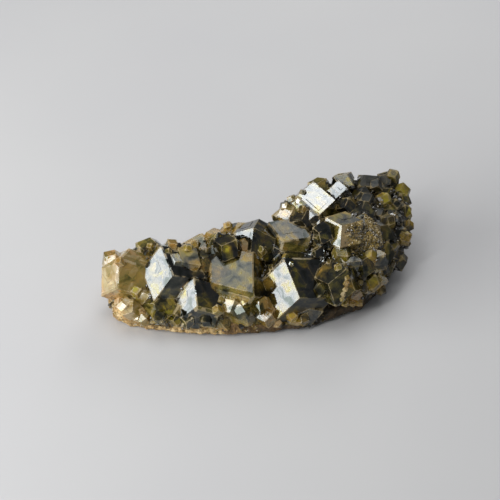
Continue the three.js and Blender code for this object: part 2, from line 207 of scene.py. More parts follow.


# Small crystals that the photograph shows singly: the pixel of the middle, the edge in mm,
# the heading and lift of the main rhomb and its turn in degrees, then pale, golden, crusted and, where it
# isn't SUNK, how deep the centre lies as a share of the edge. Each sits where its line of sight meets the
# CAD.
SINGLE = [
    # Left end.
    (120, 262, 1.6, -40, 60, 10, 0.75, 0.2, 0.1),
    (121, 302, 2.0, -60, 30, 10, 0.90, 0.1, 0.2),
    (126, 306, 2.5, -44, 32, 60, 1.00, 0.1, 0.0),
    (131, 309, 3.2, -25, 48, 20, 0.95, 0.2, 0.1),
    (137, 291, 2.0, -10, 50, 70, 0.70, 1.0, 0.0),
    (139, 317, 1.6, -42, 34, 20, 1.00, 0.2, 0.1),
    (144, 318, 2.2, -35, 40, 70, 0.90, 0.3, 0.2),
    (150, 247, 1.3, -20, 60, 40, 0.40, 0.9, 0.0),
    # Left of the centre.
    (168, 252, 1.2, -30, 60, 10, 0.50, 0.2, 0.1),
    (177, 263, 3.0, -50, 33, 140, 0.35, 0.0, 0.0, 0.66),
    (188, 249, 1.6, 30, 50, 70, 0.35, 0.4, 0.1),
    (196, 246, 1.8, -20, 60, 30, 0.45, 0.6, 0.1),
    (208, 252, 1.4, 10, 60, 50, 0.40, 0.3, 0.2),
    (215, 243, 1.6, -30, 60, 20, 0.45, 0.4, 0.2),
    (228, 226, 1.4, 0, 60, 30, 0.60, 0.8, 0.1),
    (229, 250, 4.6, 5, 38, 35, 0.08, 0.2, 0.0),
    # Painted reflection: this crystal is made fully pale to stand in for the bright soft light its face would
    # mirror, which a neighbour blocks.
    (244, 246, 2.6, -50, 33, 12, 1.00, 0.0, 0.0),
    (262, 250, 1.7, -30, 50, 60, 0.20, 0.6, 0.0),
    # Lower front.
    (160, 317, 2.4, -10, 45, 50, 0.35, 0.4, 0.0),
    (176, 320, 2.2, 20, 40, 10, 0.20, 0.5, 0.0),
    (188, 321, 2.4, -20, 60, 80, 0.15, 0.1, 0.0),
    (206, 319, 2.2, 10, 50, 60, 0.30, 0.4, 0.1),
    (217, 310, 1.8, -30, 50, 0, 0.45, 0.3, 0.2),
    (222, 300, 1.6, -10, 60, 40, 0.55, 0.3, 0.1),
    (233, 305, 3.7, -42, 33, 35, 0.60, 0.0, 0.0),
    (243, 309, 2.8, -41, 35, 80, 0.60, 0.1, 0.0),
    (245, 303, 1.4, -46, 30, 70, 0.40, 0.0, 0.0),
    (260, 305, 2.8, -42, 33, 110, 0.60, 0.0, 0.0),
    (267, 316, 3.0, -30, 42, 60, 0.62, 0.1, 0.0),
    (277, 322, 1.8, 10, 40, 10, 0.70, 0.2, 0.2),
    (292, 315, 1.9, 0, 40, 95, 0.85, 1.0, 0.0),
    (303, 318, 2.3, 20, 45, 40, 0.35, 0.4, 0.0),
    # Right of the centre.
    (272, 268, 1.1, -20, 30, 20, 0.30, 0.4, 0.0),
    (286, 257, 1.1, 20, 50, 10, 0.60, 0.5, 0.1),
    (291, 264, 0.9, -20, 50, 70, 0.60, 0.6, 0.1),
    (285, 207, 1.6, -20, 50, 30, 0.50, 0.4, 0.3),
    (292, 200, 1.5, -50, 40, 80, 0.60, 0.4, 0.4),
    (299, 200, 1.7, -20, 50, 20, 0.12, 0.2, 0.0),
    (303, 193, 1.2, 0, 60, 60, 0.25, 0.3, 0.0),
    (303, 210, 1.6, -60, 50, 20, 0.40, 0.2, 0.1),
    (314, 244, 1.1, -45, 33, 20, 0.50, 0.0, 0.0),
    (319, 291, 2.6, 15, 55, 15, 0.40, 0.1, 0.0),
    (321, 224, 2.4, 30, 50, 60, 0.15, 0.1, 0.0),
    (326, 233, 3.6, -5, 28, 20, 0.08, 0.0, 0.0),
    (330, 262, 1.2, -40, 50, 30, 0.40, 0.3, 0.1),
    (339, 268, 1.4, 0, 50, 30, 0.55, 0.5, 0.2),
    (342, 254, 3.0, -15, 60, 120, 0.42, 0.1, 0.0),
    # The pale strip down the right of the centre.
    (347, 278, 1.0, 20, 50, 30, 0.75, 0.6, 0.3),
    (346, 283, 1.1, 0, 40, 70, 0.80, 0.5, 0.4),
    (345, 289, 1.0, 30, 50, 10, 0.75, 0.6, 0.3),
    (343, 294, 0.9, -10, 60, 50, 0.80, 0.5, 0.4),
    (342, 299, 0.9, 20, 50, 20, 0.75, 0.6, 0.3),
    (345, 303, 1.2, -10, 50, 10, 0.55, 0.8, 0.3),
    (352, 302, 1.5, 10, 40, 30, 0.60, 0.9, 0.3),
    (359, 302, 1.3, 30, 50, 70, 0.60, 0.9, 0.3),
    # Right end.
    (365, 200, 2.6, 10, 60, 70, 0.12, 0.1, 0.1),
    (371, 255, 1.9, 40, 40, 0, 0.35, 0.9, 0.2),
    (371, 283, 2.8, 20, 45, 30, 0.30, 0.9, 0.1),
    (375, 186, 2.4, -20, 60, 20, 0.15, 0.1, 0.0),
    (380, 262, 2.4, -10, 50, 40, 0.12, 0.2, 0.1),
    (381, 290, 1.7, 30, 40, 50, 0.25, 0.3, 0.2),
    (384, 200, 2.3, 10, 50, 30, 0.40, 1.0, 0.1),
    (388, 222, 2.4, 40, 50, 60, 0.10, 0.3, 0.1),
    (392, 245, 2.2, 20, 50, 20, 0.12, 0.3, 0.1),
    (393, 176, 2.2, -10, 60, 60, 0.25, 0.7, 0.3),
    (395, 205, 2.0, 20, 50, 10, 0.15, 0.2, 0.1),
    (402, 191, 2.6, 30, 50, 10, 0.35, 0.9, 0.3),
    (404, 238, 2.3, 30, 40, 80, 0.35, 0.9, 0.4),
    (408, 226, 1.9, 60, 50, 20, 0.30, 0.7, 0.2),
    (409, 213, 2.6, 30, 45, 40, 0.35, 0.9, 0.2),
]

# How deep a small crystal's centre lies behind the surface, as a share of its edge.
SUNK = 0.38

# The crystal that is crusted with tan grains: its centre in mm (drawing axes).
TAN_CRYSTAL = (28.0, 17.4, 20.6)

# From point to point on the finer faces, in mm.
CRYSTAL_STEP = 0.7
ROCK_STEP = 0.55

# How far the faces of a crystal with edges of 1 lie from its centre: rhombs, and the narrow faces between.
FACE_DISTANCES = (0.8165, 0.9192)

# What the crystals' faces and points carry for the material, each from 0 to 1.
FACE_VALUES = ("pale", "gold", "crust", "matt")
POINT_VALUES = ("rim", "glow")

GARNET_IOR = 1.88

# How many ways are tried from a spot to tell how hidden it lies.
RAYS = 8


def in_frame(place):
    """A place in mm on the drawing's axes, in the frame."""
    return (Vector(place) + SHIFT) * MM


def held(value):
    """A value kept from 0 to 1."""
    return max(0.0, min(1.0, value))


def sight(px, py):
    """The camera's place and its way through a pixel of the photograph, in the frame."""
    back = Vector((0, -math.cos(VIEW_LIFT), math.sin(VIEW_LIFT)))
    up = Vector((0, math.sin(VIEW_LIFT), math.cos(VIEW_LIFT)))
    eye = in_frame(VIEW_TARGET) + back * VIEW_DISTANCE
    middle = PHOTO_SIDE / 2
    way = Vector((px - middle, 0, 0)) + up * (middle - py) - back * LENS_LENGTH
    return eye, way.normalized()


def seen_at(tree, px, py):
    """The place and face that show at a pixel of the photograph, and the way there from the camera."""
    eye, way = sight(px, py)
    place, _, face, _ = tree.ray_cast(eye, way)
    if place is None:
        raise ValueError(f"nothing shows at {px}, {py}")
    return place, face, way


def cad_surface():
    """Both CAD nodes as one mesh of triangles."""
    both = bmesh.new()
    for name in ("garnet_crystals", "matrix"):
        both.from_mesh(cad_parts[name].data)
    bmesh.ops.triangulate(both, faces=both.faces)
    return both


SURFACE = cad_surface()
SURFACE_TREE = BVHTree.FromBMesh(SURFACE)


def glow_spots():
    """Centre, radius and strength of each place of painted golden glow, in the frame."""
    spots = []
    for px, py, radius, strength, *nearer in GLOWS:
        place, _, way = seen_at(SURFACE_TREE, px, py)
        spots.append((place - way * sum(nearer) * MM, radius * MM, strength))
    return spots


GLOW_SPOTS = glow_spots()


def glow_at(place):
    """How strong the painted golden glow is at a place in the frame, from 0 to 1."""
    total = 0.0
    for centre, radius, strength in GLOW_SPOTS:
        near = ((place - centre).length / radius) ** 2
        if near < 1:
            total += strength * (1 - near) ** 2
    return min(1.0, total)


def right_end(place):
    """From 0 in the middle of the specimen to 1 at its rough right end."""
    starts, length = 20, 10
    return held((place.x / MM - starts) / length)


# Meshes.
def tidy_mesh(node):
    """The node's mesh with its corners joined, as an editable mesh in metres."""
    same_place = 2e-6
    mesh = bmesh.new()
    mesh.from_mesh(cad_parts[node].data)
    bmesh.ops.remove_doubles(mesh, verts=mesh.verts, dist=same_place)
    return mesh


def cut_edges(mesh, points, step):
    """Adds points along the edges, about a step apart, and tells which points each edge runs through."""
    along = {}
    for edge in mesh.edges:
        a, b = edge.verts
        pieces = max(1, round(edge.calc_length() / MM / step))
        chain = [a.index]
        for i in range(1, pieces):
            chain.append(len(points))
            points.append(a.co.lerp(b.co, i / pieces) / MM)
        along[edge] = (a.index, chain + [b.index])
    return along


def fine_faces(mesh, step):
    """Points, triangles and source face of a mesh whose flat faces are filled with even triangles."""
    with_inner_faces, same_place = 1, 1e-5
    points, triangles, sources = [v.co / MM for v in mesh.verts], [], []
    mesh.verts.index_update()
    along = cut_edges(mesh, points, step)
    for number, face in enumerate(mesh.faces):
        rim = []
        for loop in face.loops:
            first, chain = along[loop.edge]
            rim += chain[:-1] if loop.vert.index == first else chain[:0:-1]
        across = face.normal.orthogonal().normalized()
        up = face.normal.cross(across)
        flat = [Vector((points[i].dot(across), points[i].dot(up))) for i in rim]
        depth = points[rim[0]].dot(face.normal)
        inner = inner_grid(flat, step)
        count = len(rim)
        outline = [list(range(count))]
        filled = delaunay_2d_cdt(flat + inner, [], outline, with_inner_faces, same_place)
        names = []
        for place, origin in zip(filled[0], filled[3]):
            if origin and origin[0] < count:
                names.append(rim[origin[0]])
            else:
                names.append(len(points))
                points.append(across * place.x + up * place.y + face.normal * depth)
        for triangle in filled[2]:
            corners = [names[i] for i in triangle]
            if len(set(corners)) == 3:
                triangles.append(corners)
                sources.append(number)
    return points, triangles, sources


def inner_grid(flat, step):
    """Points of a triangular grid inside a polygon, clear of its rim."""
    row_gap, clearance, not_zero = step * 0.866, step * 0.45, 1e-12
    xs, ys = np.array([p.x for p in flat]), np.array([p.y for p in flat])
    rows = np.arange(ys.min() + 0.5 * step, ys.max(), row_gap)
    columns = np.arange(xs.min() + 0.5 * step, xs.max(), step)
    if not len(rows) or not len(columns):
        return []
    gx, gy = np.meshgrid(columns, rows)
    gx = gx + 0.5 * step * (np.arange(len(rows)) % 2)[:, None]
    gx, gy = gx.ravel(), gy.ravel()
    inside = np.zeros(len(gx), bool)
    clear = np.ones(len(gx), bool)
    for ax, ay, bx, by in zip(xs, ys, np.roll(xs, -1), np.roll(ys, -1)):
        if ay != by:
            crossed = (ay > gy) != (by > gy)
            inside ^= crossed & (gx < (bx - ax) * (gy - ay) / (by - ay) + ax)
        squared = max((bx - ax) ** 2 + (by - ay) ** 2, not_zero)
        along = np.clip(((gx - ax) * (bx - ax) + (gy - ay) * (by - ay)) / squared, 0, 1)
        clear &= np.hypot(gx - ax - along * (bx - ax), gy - ay - along * (by - ay)) > clearance
    return [Vector((x, y)) for x, y in zip(gx[inside & clear], gy[inside & clear])]


def fine_mesh(mesh, step):
    """An editable mesh with even triangles, and each triangle's source face in a layer."""
    points, triangles, sources = fine_faces(mesh, step)
    fine = bmesh.new()
    verts = [fine.verts.new(p * MM) for p in points]
    facet = fine.faces.layers.int.new("facet")
    for corners, source in zip(triangles, sources):
        try:
            face = fine.faces.new([verts[i] for i in corners])
        except ValueError:
            continue
        face[facet] = source
    loose = [v for v in fine.verts if not v.link_faces]
    bmesh.ops.delete(fine, geom=loose, context="VERTS")
    fine.normal_update()
    return fine


def add_piece(name, data, material):
    """A piece of the scene with its material, riding on the root body."""
    data.materials.append(material)
    piece = bpy.data.objects.new(name, data)
    bpy.context.scene.collection.objects.link(piece)
    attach(piece, "root")
    return piece


def smooth_piece(name, mesh, material, sharp_from):
    """A piece from an editable mesh, smooth but for edges that bend by more than some degrees."""
    data = bpy.data.meshes.new(name)
    mesh.to_mesh(data)
    mesh.free()
    data.shade_smooth()
    data.set_sharp_from_angle(angle=math.radians(sharp_from))
    return add_piece(name, data, material)


# Materials.
class Nodes:
    """A material's node tree, with short calls to add to it."""

    def __init__(self, name):
        self.material = bpy.data.materials.new(name)
        self.material.use_nodes = True
        self.tree = self.material.node_tree
        self.tree.nodes.clear()
        self.output = self.add("ShaderNodeOutputMaterial")
        self.surface = self.add("ShaderNodeBsdfPrincipled")
        self.link(self.surface.outputs["BSDF"], self.output.inputs["Surface"])
        self.place = self.add("ShaderNodeTexCoord").outputs["Object"]

    def add(self, kind, **settings):
        node = self.tree.nodes.new(kind)
        for name, value in settings.items():
            setattr(node, name, value)
        return node

    def link(self, value, socket):
        """Joins an output to a socket, or sets the socket's own number or colour."""
        if isinstance(value, (int, float)):
            socket.default_value = value
        elif isinstance(value, tuple):
            socket.default_value = (*value, 1.0)
        else:
            self.tree.links.new(value, socket)

    def put(self, name, value):
        """Sets or joins an input of the surface shader."""
        self.link(value, self.surface.inputs[name])

    def noise(self, scale, detail, rough, distortion=0.0, output="Fac"):
        node = self.add("ShaderNodeTexNoise")
        values = {"Scale": scale, "Detail": detail, "Roughness": rough, "Distortion": distortion}
        for name, value in values.items():
            node.inputs[name].default_value = value
        self.link(self.place, node.inputs["Vector"])
        return node.outputs[output]

    def ramp(self, value, stops):
        """The colour that a value takes on a ramp."""
        node = self.add("ShaderNodeValToRGB")
        elements = node.color_ramp.elements
        while len(elements) < len(stops):
            elements.new(0.5)
        for element, (position, colour) in zip(elements, stops):
            element.position = position
            element.color = (*colour, 1.0)
        self.link(value, node.inputs["Fac"])
        return node.outputs["Color"]

    def between(self, value, low, high):
        """A smooth step from 0 at low to 1 at high."""
        node = self.add("ShaderNodeMapRange", interpolation_type="SMOOTHSTEP")
        node.inputs["From Min"].default_value = low
        node.inputs["From Max"].default_value = high
        self.link(value, node.inputs["Value"])
        return node.outputs["Result"]

    def bent_place(self, scale, amount):
        """Places on the object, pushed about by noise."""
        push = self.noise(scale, detail=3.0, rough=0.5, output="Color")
        scaled = self.add("ShaderNodeVectorMath", operation="SCALE")
        scaled.inputs["Scale"].default_value = amount
        self.link(push, scaled.inputs[0])
        moved = self.add("ShaderNodeVectorMath", operation="ADD")
        self.link(self.place, moved.inputs[0])
        self.link(scaled.outputs[0], moved.inputs[1])
        return moved.outputs[0]

    def voronoi(self, place, scale, feature, output):
        node = self.add("ShaderNodeTexVoronoi", feature=feature)
        node.inputs["Scale"].default_value = scale
        self.link(place, node.inputs["Vector"])
        return node.outputs[output]

    def math(self, operation, a, b, clamp=False):
        node = self.add("ShaderNodeMath", operation=operation, use_clamp=clamp)
        self.link(a, node.inputs[0])
        self.link(b, node.inputs[1])
        return node.outputs[0]

    def plus(self, a, b, clamp=False):
        return self.math("ADD", a, b, clamp)

    def minus(self, a, b):
        return self.math("SUBTRACT", a, b)

    def times(self, a, b, clamp=False):
        return self.math("MULTIPLY", a, b, clamp)

    def larger(self, a, b):
        return self.math("MAXIMUM", a, b)

    def mix(self, factor, a, b, blend="MIX"):
        node = self.add("ShaderNodeMix", data_type="RGBA", blend_type=blend)
        for socket, value in ((0, factor), (6, a), (7, b)):
            self.link(value, node.inputs[socket])
        return node.outputs[2]

    def attribute(self, name):
        return self.add("ShaderNodeAttribute", attribute_name=name).outputs["Fac"]

    def bump(self, height, strength, distance):
        node = self.add("ShaderNodeBump")
        node.inputs["Strength"].default_value = strength
        node.inputs["Distance"].default_value = distance
        self.link(height, node.inputs["Height"])
        self.put("Normal", node.outputs["Normal"])


def garnet_material():
    """Clear olive-brown crystal: dark inside with painted golden glow and painted inner reflections, cracks,
    pale edges that are a painted edge highlight and rougher like wear, and tan dust.
    """
    n = Nodes("andradite")
    pale, gold, crust, matt = (n.attribute(name) for name in FACE_VALUES)
    rim, glow = (n.attribute(name) for name in POINT_VALUES)
    cloud = n.noise(scale=230.0, detail=4.0, rough=0.52, distortion=0.7)
    grain = n.noise(scale=2600.0, detail=5.0, rough=0.7)
    bent = n.bent_place(scale=700.0, amount=0.0007)
    # Angular cells: red paints inner reflections, green patches the painted golden glow, blue adds a little
    # bump.
    cell = n.add("ShaderNodeSeparateColor")
    n.link(n.voronoi(bent, 380.0, "F1", "Color"), cell.inputs["Color"])
    inner_reflection_patch = n.minus(cell.outputs["Red"], 0.5)

    # The crystal's colour: its tone from pale, which on some facets is partly painted highlight and shade,
    # darker and paler in clouds and in the angular cells of painted inner reflection, and browner in wide
    # patches.
    uneven = n.plus(n.times(n.minus(cloud, 0.5), 1.7), n.times(inner_reflection_patch, 0.28))
    shade = n.plus(pale, uneven, clamp=True)
    body = n.ramp(shade, [
        (0.00, (0.006, 0.006, 0.004)),
        (0.18, (0.028, 0.026, 0.008)),
        (0.36, (0.120, 0.106, 0.020)),
        (0.55, (0.380, 0.300, 0.065)),
        (0.78, (0.600, 0.410, 0.110)),
        (1.00, (0.930, 0.760, 0.440)),
    ])
    warm = n.between(n.noise(scale=105.0, detail=2.0, rough=0.5, distortion=0.6), 0.44, 0.62)
    body = n.mix(warm, body, (1.12, 0.88, 0.72), "MULTIPLY")

    # Painted golden glow of light through the crystal, amber in the brown patches and yellow green elsewhere.
    lit = n.times(gold, n.times(n.minus(cloud, 0.38), 5.0, clamp=True))
    patches = n.between(n.noise(scale=620.0, detail=3.0, rough=0.6, distortion=0.5), 0.40, 0.60)
    patchy_glow = n.times(glow, n.plus(n.times(patches, 0.75), 0.35))
    gleam = n.larger(n.times(lit, cell.outputs["Green"]), patchy_glow)
    golden = n.ramp(gleam, [
        (0.0, (0.100, 0.060, 0.008)),
        (0.4, (0.620, 0.390, 0.020)),
        (1.0, (0.960, 0.720, 0.060)),
    ])
    golden = n.mix(n.minus(1.0, warm), golden, (0.82, 1.00, 0.80), "MULTIPLY")
    coloured = n.mix(n.times(gleam, 1.25, clamp=True), body, golden)

    # Inner cracks, pale edges that are a painted edge highlight and also rougher like wear, and tan dust.
    crack = n.between(n.voronoi(bent, 210.0, "DISTANCE_TO_EDGE", "Distance"), 0.035, 0.0)
    crack = n.times(crack, n.between(cloud, 0.48, 0.60))
    crack_tone = n.ramp(shade, [(0.30, (0.34, 0.25, 0.08)), (0.65, (0.24, 0.12, 0.03))])
    cracked = n.mix(n.times(crack, 0.6), coloured, crack_tone)
    ragged = n.times(n.minus(grain, 0.5), 0.9)
    wear_and_edge_highlight = n.times(n.between(n.plus(rim, ragged), 0.70, 1.00), n.between(cloud, 0.40, 0.56))
    edge_highlighted = n.mix(n.times(wear_and_edge_highlight, 0.7), cracked, (0.76, 0.58, 0.28))
    dust = n.between(n.plus(grain, n.times(crust, 0.62)), 0.75, 0.86)
    n.put("Base Color", n.mix(n.times(dust, 0.9), edge_highlighted, (0.68, 0.50, 0.26)))

    # A glossy surface with low swells, duller where it is matt, dusty or on the pale painted edge highlight.
    swell = n.noise(scale=240.0, detail=2.0, rough=0.5, distortion=0.3)
    dull = n.plus(n.times(swell, 0.16), n.times(matt, 0.5))
    n.put("Roughness", n.plus(dull, n.times(n.larger(dust, wear_and_edge_highlight), 0.45)))
    height = n.plus(swell, n.times(cell.outputs["Blue"], 0.03))
    height = n.minus(height, n.times(crack, 0.10))
    height = n.plus(height, n.times(dust, 0.25))
    n.bump(height, strength=0.3, distance=0.00014)

    # Reflections with a blue-white to yellow-green tint, weak on matt faces.
    sheen = n.ramp(n.plus(cloud, n.times(inner_reflection_patch, 0.16)), [
        (0.34, (0.50, 0.58, 0.55)),
        (0.46, (0.86, 0.93, 0.98)),
        (0.58, (0.98, 1.00, 0.97)),
        (0.70, (0.80, 0.86, 0.50)),
    ])
    n.put("Specular Tint", n.mix(n.times(matt, 0.7), sheen, (0.10, 0.09, 0.06)))

    # Light passes through, and the olive crystal takes up some of it.
    n.put("IOR", GARNET_IOR)
    n.put("Transmission Weight", 0.55)
    volume = n.add("ShaderNodeVolumeAbsorption")
    n.link((0.80, 0.64, 0.16), volume.inputs["Color"])
    n.link(320.0, volume.inputs["Density"])
    n.link(volume.outputs["Volume"], n.output.inputs["Volume"])
    return n.material


def rock_material():
    """Tan granular rock, cream at the left end and darker brown towards the right end."""
    n = Nodes("matrix_rock")
    darkening = n.attribute("darkening")
    patches = n.noise(scale=210.0, detail=6.0, rough=0.65, distortion=0.3)
    grain = n.noise(scale=1500.0, detail=6.0, rough=0.7)
    base = n.ramp(n.minus(patches, n.times(darkening, 0.36)), [
        (0.12, (0.030, 0.022, 0.010)),
        (0.32, (0.160, 0.090, 0.028)),
        (0.44, (0.420, 0.260, 0.090)),
        (0.54, (0.660, 0.470, 0.210)),
        (0.70, (0.860, 0.740, 0.500)),
    ])
    speck = n.ramp(grain, [(0.38, (0.26, 0.20, 0.13)), (0.54, (1.0, 1.0, 1.0))])
    n.put("Base Color", n.mix(0.85, base, speck, "MULTIPLY"))
    n.put("Roughness", n.plus(n.times(grain, 0.6), 0.35))
    n.bump(n.plus(grain, patches), strength=0.8, distance=0.0004)
    return n.material


def young_garnet_material():
    """Small clear crystals in the gaps, from black to yellow green and amber; the near-black partly paints
    shade in the gaps, and painted golden glow adds yellow.
    """
    n = Nodes("young_garnet")
    tone = n.attribute("tone")
    fine = n.noise(scale=2400.0, detail=4.0, rough=0.7)
    shade = n.plus(tone, n.times(n.minus(fine, 0.5), 0.5), clamp=True)
    n.put("Base Color", n.ramp(shade, [
        (0.00, (0.010, 0.009, 0.005)),
        (0.30, (0.060, 0.046, 0.014)),
        (0.55, (0.280, 0.200, 0.045)),
        (0.75, (0.620, 0.420, 0.090)),
        (1.00, (0.900, 0.720, 0.340)),
    ]))
    n.put("Roughness", n.plus(n.times(fine, 0.4), 0.02))
    n.put("IOR", GARNET_IOR)
    n.put("Transmission Weight", 0.5)
    n.bump(fine, strength=0.35, distance=0.00012)
    return n.material


def floor_material():
    """A plain pale floor."""
    n = Nodes("pale_floor")
    tone = n.noise(scale=9.0, detail=3.0, rough=0.5)
    n.put("Base Color", n.ramp(tone, [(0.3, (0.52, 0.52, 0.53)), (0.7, (0.55, 0.55, 0.55))]))
    n.put("Roughness", 0.9)
    return n.material


# The crystals that the CAD has, and the single ones on them.
def crystal_of(centre, normal):
    """The row of TONES that a facet belongs to, from its distance to that crystal's centre."""
    reach_in_edges, nearest, found = 1.3, 0.07, None
    for row in TONES:
        edge = row[3] * MM
        reach = centre - in_frame(row[:3])
        if reach.length > reach_in_edges * edge:
            continue
        off = min(abs(normal.dot(reach) / edge - distance) for distance in FACE_DISTANCES)
        if off < nearest:
            nearest, found = off, row
    return found


def facet_values(face, rng):
    """How pale, golden, crusted and matt a facet is: from TONES, or else drawn at random."""
    spread, less_at_end = 0.06, 0.6
    centre = face.calc_center_median()
    row = crystal_of(centre, face.normal)
    if row:
        values = [v + rng.uniform(-spread, spread) for v in row[4:]] + [0.0]
    else:
        end = right_end(centre)
        pale = 0.04 + 0.5 * rng.random() ** 2.4 * (1 - less_at_end * end)
        gold = rng.uniform(0, 0.8) ** 2 * (1 - less_at_end * end)
        crust = rng.uniform(0.0, 0.15) + 0.06 * end
        matt = end * rng.uniform(0.6, 1.0)
        values = [pale, gold, crust, matt]
    return [held(value) for value in values]


def values_of_facets(coarse, rng):
    """The values of all facets, with those that the photograph shows put in; their paleness is partly the
    facet's own tone and partly painted highlight and shade.
    """
    values = [facet_values(face, rng) for face in coarse.faces]
    tree = BVHTree.FromBMesh(coarse)
    for px, py, *tones in FACETS:
        facet = seen_at(tree, px, py)[1]
        values[facet] = [*tones, 0.0][:4]
    return values


def lie(heading, lift, turn):
    """The turn that makes a crystal's main rhomb look to a heading and lift, its long diagonal turned."""
    heading, lift, turn = (math.radians(v) for v in (heading, lift, turn))
    level = Vector((math.sin(heading), -math.cos(heading), 0))
    out = level * math.cos(lift) + Vector((0, 0, math.sin(lift)))
    uphill = Vector((0, 0, math.cos(lift))) - level * math.sin(lift)
    side = uphill.cross(out)
    long = uphill * math.cos(turn) + side * math.sin(turn)
    short = long.cross(out)
    world = Matrix((short, long, out)).transposed()
    slant = math.sqrt(0.5)
    return world @ Matrix(((0, 0, -1), (-slant, slant, 0), (slant, slant, 0)))


def keep_in_box(places):
    """Moves a crystal's corners together, so that it stays inside the CAD's box."""
    low, high = CAD_BOX
    for i in range(3):
        over = max(p[i] for p in places) - high[i]
        under = low[i] - min(p[i] for p in places)
        for place in places:
            place[i] += max(under, 0) - max(over, 0)


def single_crystals(mesh, layers, rim, glow):
    """The small crystals that the photograph shows singly, each rhomb cut into a grid as the facets are."""
    most_matt = 0.6
    for row in SINGLE:
        px, py, edge, heading, lift, turn, pale, gold, crust, *deeper = row
        sunk = deeper[0] if deeper else SUNK
        corners, faces, marks = dodecahedron(max(1, round(edge / CRYSTAL_STEP)))
        turned = lie(heading, lift, turn)
        place, _, way = seen_at(SURFACE_TREE, px, py)
        middle = place + way * edge * sunk * MM
        places = [turned @ c * edge * MM + middle for c in corners]
        keep_in_box(places)
        verts = [mesh.verts.new(place) for place in places]
        # The crystal's own painted golden glow, from how golden it is.
        own_glow = 0.9 * gold - 0.35
        values = (pale, gold, crust, most_matt * right_end(middle))
        for vertex, mark in zip(verts, marks):
            vertex[rim] = mark
            vertex[glow] = max(glow_at(vertex.co), own_glow)
        for names in faces:
            face = mesh.faces.new([verts[i] for i in names])
            for layer, value in zip(layers, values):
                face[layer] = value


def growth_plates(mesh, faces, values, layers, rng):
    """Thin plates that the crystal has grown on its large facets."""
    least_area, wide_area, least_height = 7, 60, 3 * MM
    root, taper, most_corners = 0.1 * MM, 0.015, 14
    for number, face in enumerate(faces):
        area = face.calc_area() / MM ** 2
        if area < least_area or face.calc_center_median().z < least_height:
            continue
        corners = [v.co for v in face.verts]
        for _ in range(2 if area > wide_area else 1):
            toward = face.calc_center_median().lerp(rng.choice(corners), rng.uniform(0.2, 0.55))
            size = rng.uniform(0.30, 0.62)
            outline = [toward.lerp(c, size) for c in corners]
            if len(outline) > most_corners or not plate_fits(face, outline):
                continue
            rise = rng.uniform(0.05, 0.12) * MM
            middle = sum(outline, Vector()) / len(outline)
            low = [mesh.verts.new(c - face.normal * root) for c in outline]
            high = [mesh.verts.new(c.lerp(middle, taper) + face.normal * rise) for c in outline]
            made = [mesh.faces.new(high), mesh.faces.new(low[::-1])]
            for i in range(len(outline)):
                j = (i + 1) % len(outline)
                made.append(mesh.faces.new([low[i], low[j], high[j], high[i]]))
            shift = rng.uniform(-0.05, 0.08)
            for part in made:
                for layer, value in zip(layers, (values[number][0] + shift, *values[number][1:])):
                    part[layer] = held(value)


def plate_fits(face, outline):
    """Whether a flat outline lies inside a facet."""
    across = face.normal.orthogonal().normalized()
    up = face.normal.cross(across)
    rim = [(v.co.dot(across), v.co.dot(up)) for v in face.verts]
    for corner in outline:
        x, y = corner.dot(across), corner.dot(up)
        inside = False
        for (ax, ay), (bx, by) in zip(rim, rim[1:] + rim[:1]):
            if (ay > y) != (by > y) and x < (bx - ax) * (y - ay) / (by - ay) + ax:
                inside = not inside
        if not inside:
            return False
    return True


def wear(mesh, facet, rim, glow):
    """Nicks the edges, gives each facet slight waves and low steps, and notes the rims, where the pale edge
    highlight is painted, and the places of painted golden glow.
    """
    nick_depth, nicked_above = 0.15 * MM, 0.1
    wave_height, step_height, steps_across = 0.02 * MM, 0.008 * MM, 3.0
    for vertex in mesh.verts:
        faces = vertex.link_faces
        first = faces[0][facet]
        p = vertex.co / MM
        vertex[glow] = glow_at(vertex.co)
        if any(f[facet] != first for f in faces):
            vertex[rim] = 1.0
            nick = noise.noise(p * 1.1) - nicked_above
            if vertex.co.z > 1 * MM and nick > 0:
                vertex.co -= vertex.normal * nick_depth * nick
            continue
        seed = Vector((first * 7.3, first * 3.1, first * 5.7))
        wave = noise.noise(p * 0.28 + seed)
        swell = noise.noise(p * 0.22 + seed * 1.7)
        steps = math.floor(steps_across * swell + 0.5) / steps_across
        vertex.co += faces[0].normal * (wave_height * wave + step_height * steps)


def flat_crystals():
    """The CAD's crystals with one face for each flat facet."""
    coarse = tidy_mesh("garnet_crystals")
    flat_within = math.radians(0.4)
    bmesh.ops.dissolve_limit(
        coarse, angle_limit=flat_within, verts=coarse.verts, edges=coarse.edges, delimit={"NORMAL"}
    )
    coarse.normal_update()
    coarse.faces.ensure_lookup_table()
    return coarse


def build_crystals(material):
    """A finer copy of the crystals, worn and with growth plates, and the single crystals."""
    coarse = flat_crystals()
    rng = random.Random(5)
    values = values_of_facets(coarse, rng)
    mesh = fine_mesh(coarse, CRYSTAL_STEP)
    layers = [mesh.faces.layers.float.new(name) for name in FACE_VALUES]
    rim, glow = (mesh.verts.layers.float.new(name) for name in POINT_VALUES)
    facet = mesh.faces.layers.int["facet"]
    for face in mesh.faces:
        for layer, value in zip(layers, values[face[facet]]):
            face[layer] = value
    wear(mesh, facet, rim, glow)
    growth_plates(mesh, coarse.faces, values, layers, rng)
    single_crystals(mesh, layers, rim, glow)
    coarse.free()
    piece = smooth_piece("garnet_crystals_fine", mesh, material, sharp_from=12)
    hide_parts("garnet_crystals")


